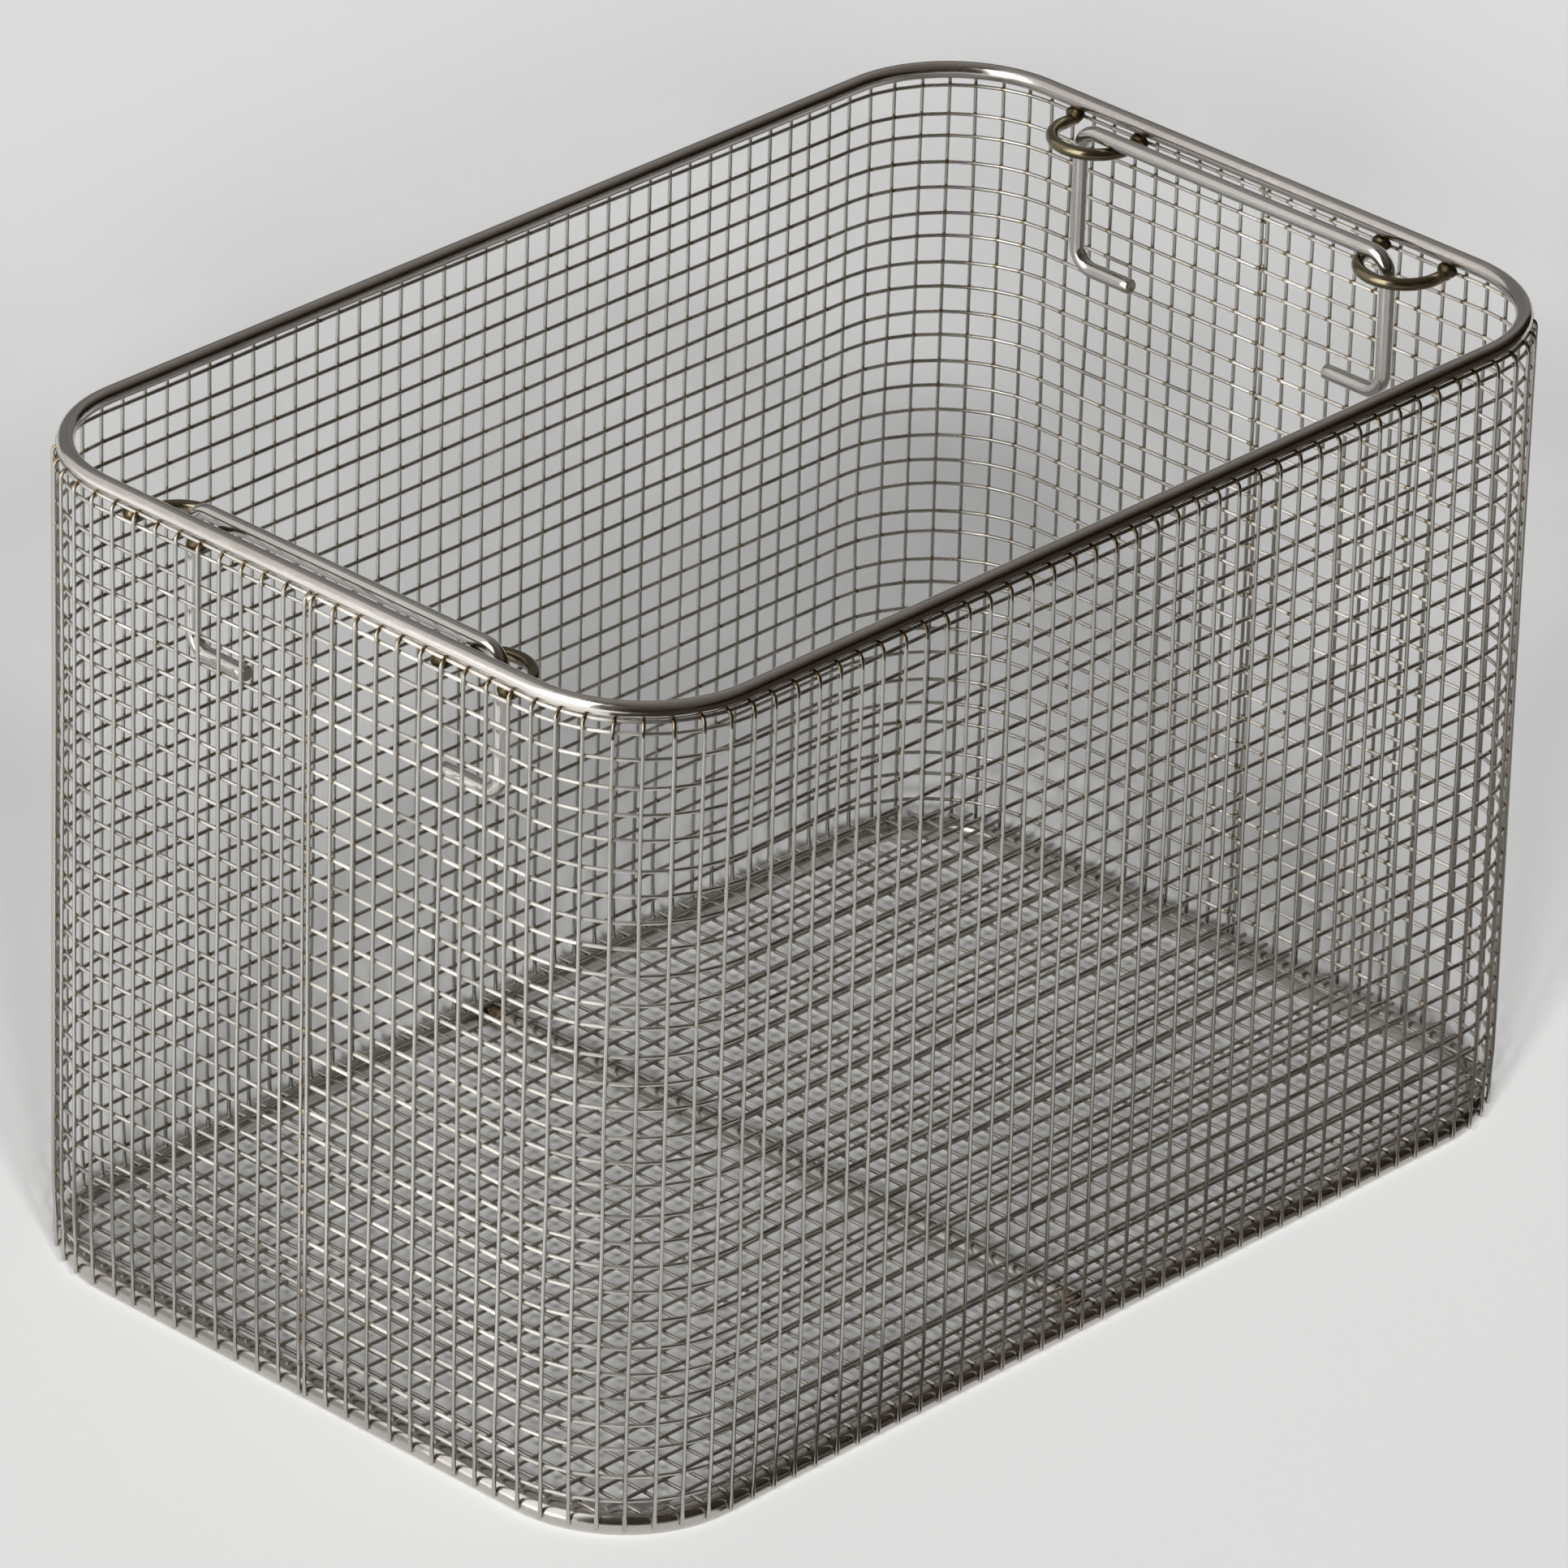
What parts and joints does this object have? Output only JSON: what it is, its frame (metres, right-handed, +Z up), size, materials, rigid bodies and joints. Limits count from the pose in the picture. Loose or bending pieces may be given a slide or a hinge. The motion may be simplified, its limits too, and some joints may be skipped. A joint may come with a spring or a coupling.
{
  "type": "sterilization basket",
  "caption": "Deep rectangular steel wire mesh basket with rounded corners, rod rim and base, and drop-in lifting handles that slide up through loops.",
  "frame": {"origin": "middle of the footprint, on the surface that the basket stands on", "axes": "+X along the long side towards the right handle, +Y across towards the back long side, +Z up out of the open top"},
  "size_m": [0.268, 0.175, 0.178],
  "materials": {
    "mesh_wire": "electropolished stainless wire with small weld marks",
    "rod": "polished stainless rod",
    "handle": "polished stainless wire",
    "loop": "stainless wire with straw and brown heat tint at its welds"
  },
  "bodies": {
    "basket": {"front_mesh_sheet": "mesh_wire", "back_mesh_sheet": "mesh_wire", "floor_mesh": "mesh_wire", "rim_rod": "rod", "base_rod": "rod", "floor_brace": "rod", "handle_loop_left_front": "loop", "handle_loop_left_back": "loop", "handle_loop_right_front": "loop", "handle_loop_right_back": "loop"},
    "left_handle": {"handle_left": "handle"},
    "right_handle": {"handle_right": "handle"}
  },
  "joints": [
    {"name": "left_handle_slide", "type": "slide", "parent": "basket", "child": "left_handle", "axis": [0, 0, 1], "range_m": [0, 0.0239]},
    {"name": "right_handle_slide", "type": "slide", "parent": "basket", "child": "right_handle", "axis": [0, 0, 1], "range_m": [0, 0.0239]}
  ]
}
